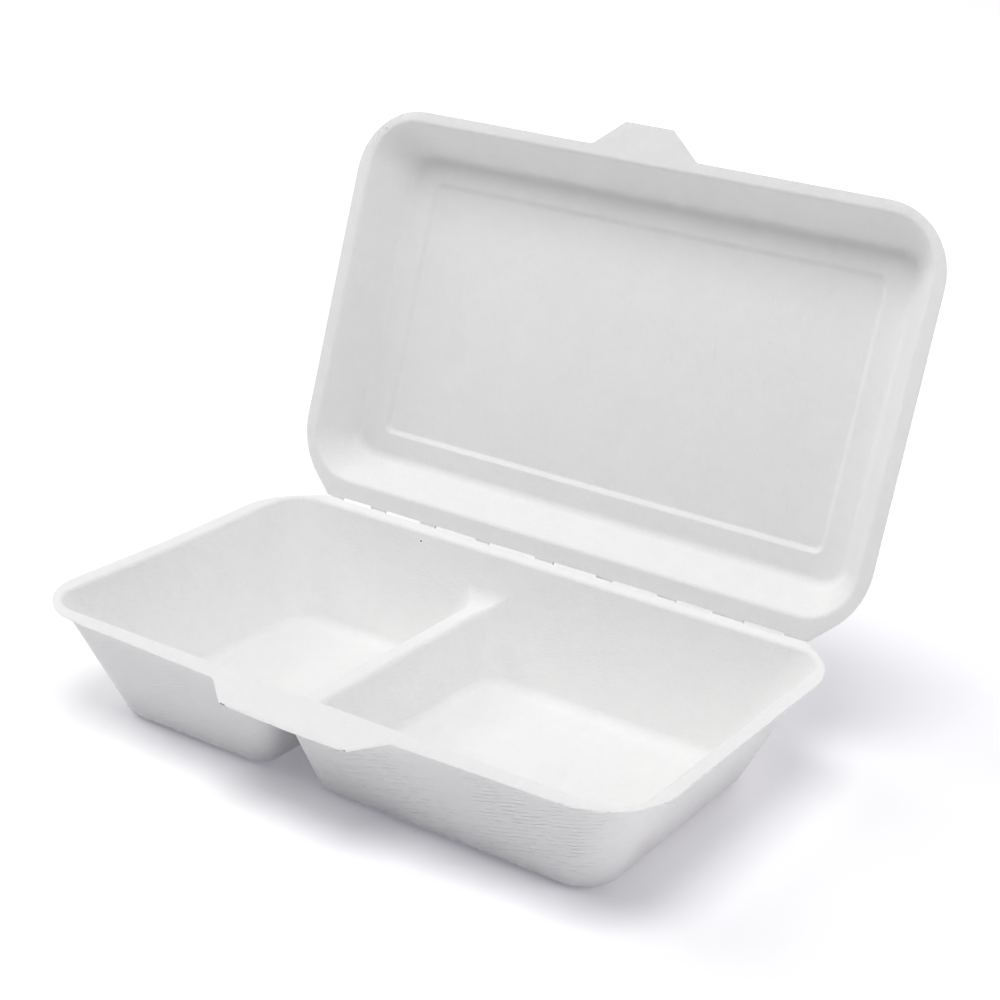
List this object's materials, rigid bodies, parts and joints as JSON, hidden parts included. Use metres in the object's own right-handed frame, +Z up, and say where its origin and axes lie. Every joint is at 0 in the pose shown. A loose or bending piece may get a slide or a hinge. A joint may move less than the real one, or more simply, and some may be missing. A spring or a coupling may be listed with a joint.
{
  "type": "sugarcane food container",
  "caption": "Open pressed-pulp takeaway container: a shallow tray with a small and a large bowl parted by a hollow ridge, and a hinged lid with a raised panel.",
  "frame": {"origin": "on the ground under the tray's floors, at the middle of the open container's outline from above", "axes": "+X along the fold towards the large bowl's end, +Y from the front tab to the fold and the lid, +Z up"},
  "size_m": [0.237, 0.2112, 0.1964],
  "materials": {
    "pulp": "matt white pressed plant pulp, smooth on the food side, with fine mesh ridges outside"
  },
  "bodies": {
    "tray": {"tray": "pulp"},
    "lid": {"lid": "pulp"}
  },
  "joints": [
    {"name": "lid_hinge", "type": "hinge", "parent": "tray", "child": "lid", "pos_m": [0, 0.05322, 0.04265], "axis": [-1, 0, 0], "range_deg": [-105.5, 74.5]}
  ]
}
